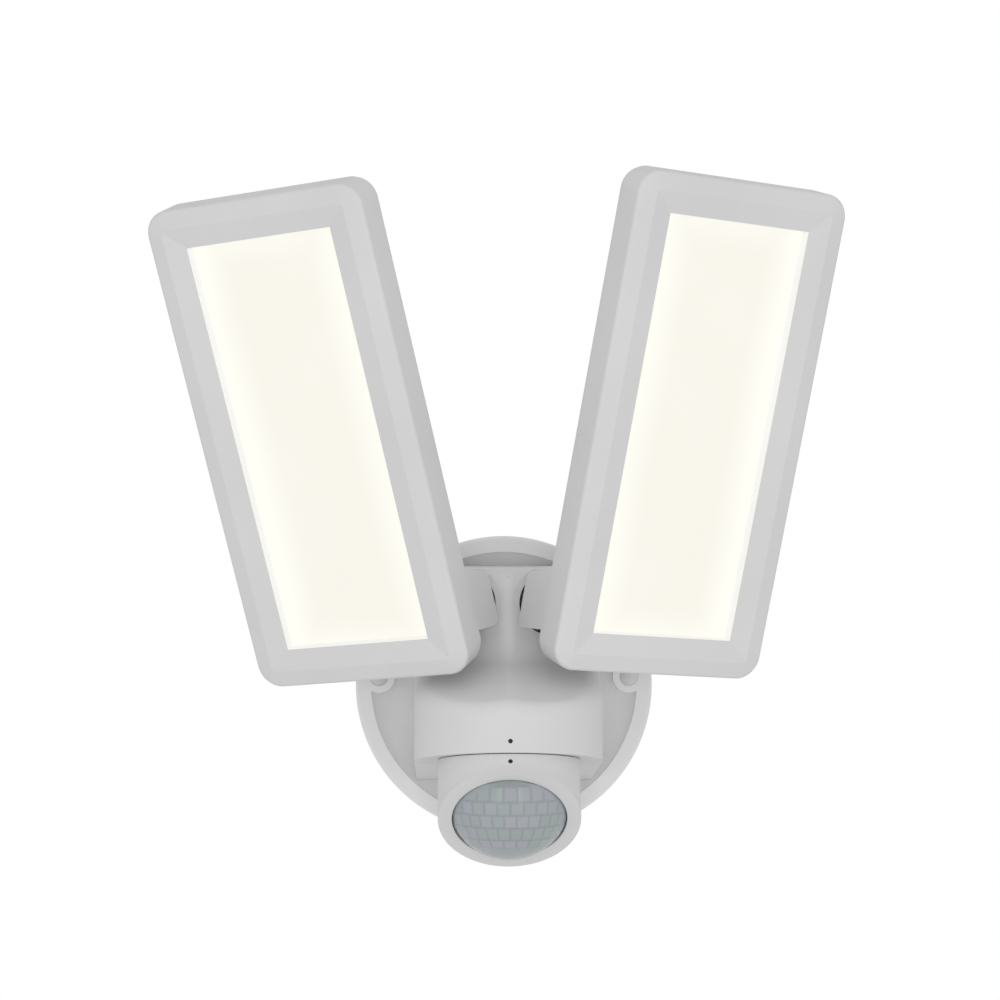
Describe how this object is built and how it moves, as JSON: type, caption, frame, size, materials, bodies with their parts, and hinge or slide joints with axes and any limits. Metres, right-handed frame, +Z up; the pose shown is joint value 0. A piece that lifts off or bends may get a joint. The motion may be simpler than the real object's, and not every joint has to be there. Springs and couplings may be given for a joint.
{
  "type": "motion sensor security light",
  "caption": "Wall-mounted outdoor security light with a round canopy, adjustable flat LED heads on knuckle arms and a swivelling domed motion sensor below.",
  "frame": {"origin": "centre of the canopy's back, on the wall plane and on the line between the two wall box screws", "axes": "+Z up, +X to the right for someone facing the wall, +Y into the wall"},
  "size_m": [0.2713, 0.1793, 0.2727],
  "materials": {
    "housing_white": "satin moulded white",
    "canopy_white": "satin white powder coat",
    "cap_white": "satin white",
    "rubber_grey": "dull",
    "rubber_black": "dull",
    "steel": "zinc plated",
    "disc_metal": "dark ground finish",
    "mark_black": "glossy",
    "diffuser_opal": "opal, lit from behind",
    "led_board_metal": "white solder mask on aluminium",
    "led_chip": "phosphor",
    "circuit_board": "solder mask",
    "component_black": "dull",
    "component_blue": "shrink sleeve",
    "terminal_plastic": "natural",
    "lens_polyethylene": "translucent with moulded facets",
    "knob_grey": "fine texture",
    "aluminium_arm": "satin white powder coat"
  },
  "bodies": {
    "root": {"wall_gasket": "rubber_grey", "mounting_strap": "steel", "canopy": "canopy_white", "canopy_screws": "steel", "screw_caps": "cap_white", "body_housing": "housing_white", "body_screws": "steel", "body_mark": "mark_black", "driver_board": "circuit_board", "driver_transformer": "component_black", "driver_capacitors": "component_blue", "driver_relay": "component_black", "terminal_block": "terminal_plastic", "left_swivel_seal": "rubber_black", "right_swivel_seal": "rubber_black"},
    "left_arm": {"left_swivel_arm": "aluminium_arm", "left_swivel_disc": "disc_metal", "left_swivel_washer": "steel", "left_swivel_nut": "steel"},
    "left_head": {"left_head_frame": "housing_white", "left_head_housing": "housing_white", "left_head_seal": "rubber_grey", "left_diffuser": "diffuser_opal", "left_led_board": "led_board_metal", "left_led_chips": "led_chip", "left_frame_screws": "steel", "left_tilt_bolt": "steel", "left_tilt_nut": "steel"},
    "right_arm": {"right_swivel_arm": "aluminium_arm", "right_swivel_disc": "disc_metal", "right_swivel_washer": "steel", "right_swivel_nut": "steel"},
    "right_head": {"right_head_frame": "housing_white", "right_head_housing": "housing_white", "right_head_seal": "rubber_grey", "right_diffuser": "diffuser_opal", "right_led_board": "led_board_metal", "right_led_chips": "led_chip", "right_frame_screws": "steel", "right_tilt_bolt": "steel", "right_tilt_nut": "steel"},
    "sensor": {"sensor_housing": "housing_white", "sensor_lens": "lens_polyethylene", "sensor_clip_ring": "component_black", "sensor_mark": "mark_black", "sensor_board": "circuit_board", "pir_detector": "steel", "sensor_trimmers": "component_blue"},
    "time_knob": {"time_knob": "knob_grey"},
    "light_knob": {"light_knob": "knob_grey"}
  },
  "joints": [
    {"name": "left_swivel", "type": "hinge", "parent": "root", "child": "left_arm", "pos_m": [-0.0251, -0.1032, 0.037], "axis": [0.4446, 0.8957, 0], "range_deg": [-7.9, 5.1]},
    {"name": "left_tilt", "type": "hinge", "parent": "left_arm", "child": "left_head", "pos_m": [-0.0251, -0.1032, 0.037], "axis": [0.8922, -0.4429, 0.0889], "range_deg": [-44, 3]},
    {"name": "right_swivel", "type": "hinge", "parent": "root", "child": "right_arm", "pos_m": [0.0251, -0.1032, 0.037], "axis": [-0.4446, 0.8957, 0], "range_deg": [-4, 9]},
    {"name": "right_tilt", "type": "hinge", "parent": "right_arm", "child": "right_head", "pos_m": [0.0251, -0.1032, 0.037], "axis": [0.8935, 0.4436, -0.0698], "range_deg": [-38.9, 8.1]},
    {"name": "sensor_pan", "type": "hinge", "parent": "root", "child": "sensor", "pos_m": [0, -0.116, -0.0236], "axis": [0, 0.1736, 0.9848], "range_deg": [-60, 60]},
    {"name": "time_knob_turn", "type": "hinge", "parent": "sensor", "child": "time_knob", "pos_m": [-0.0115, -0.10248, -0.05493], "axis": [0, 0.7986, -0.6018], "range_deg": [-135, 135]},
    {"name": "light_knob_turn", "type": "hinge", "parent": "sensor", "child": "light_knob", "pos_m": [0.0115, -0.10248, -0.05493], "axis": [0, 0.7986, -0.6018], "range_deg": [-135, 135]}
  ]
}
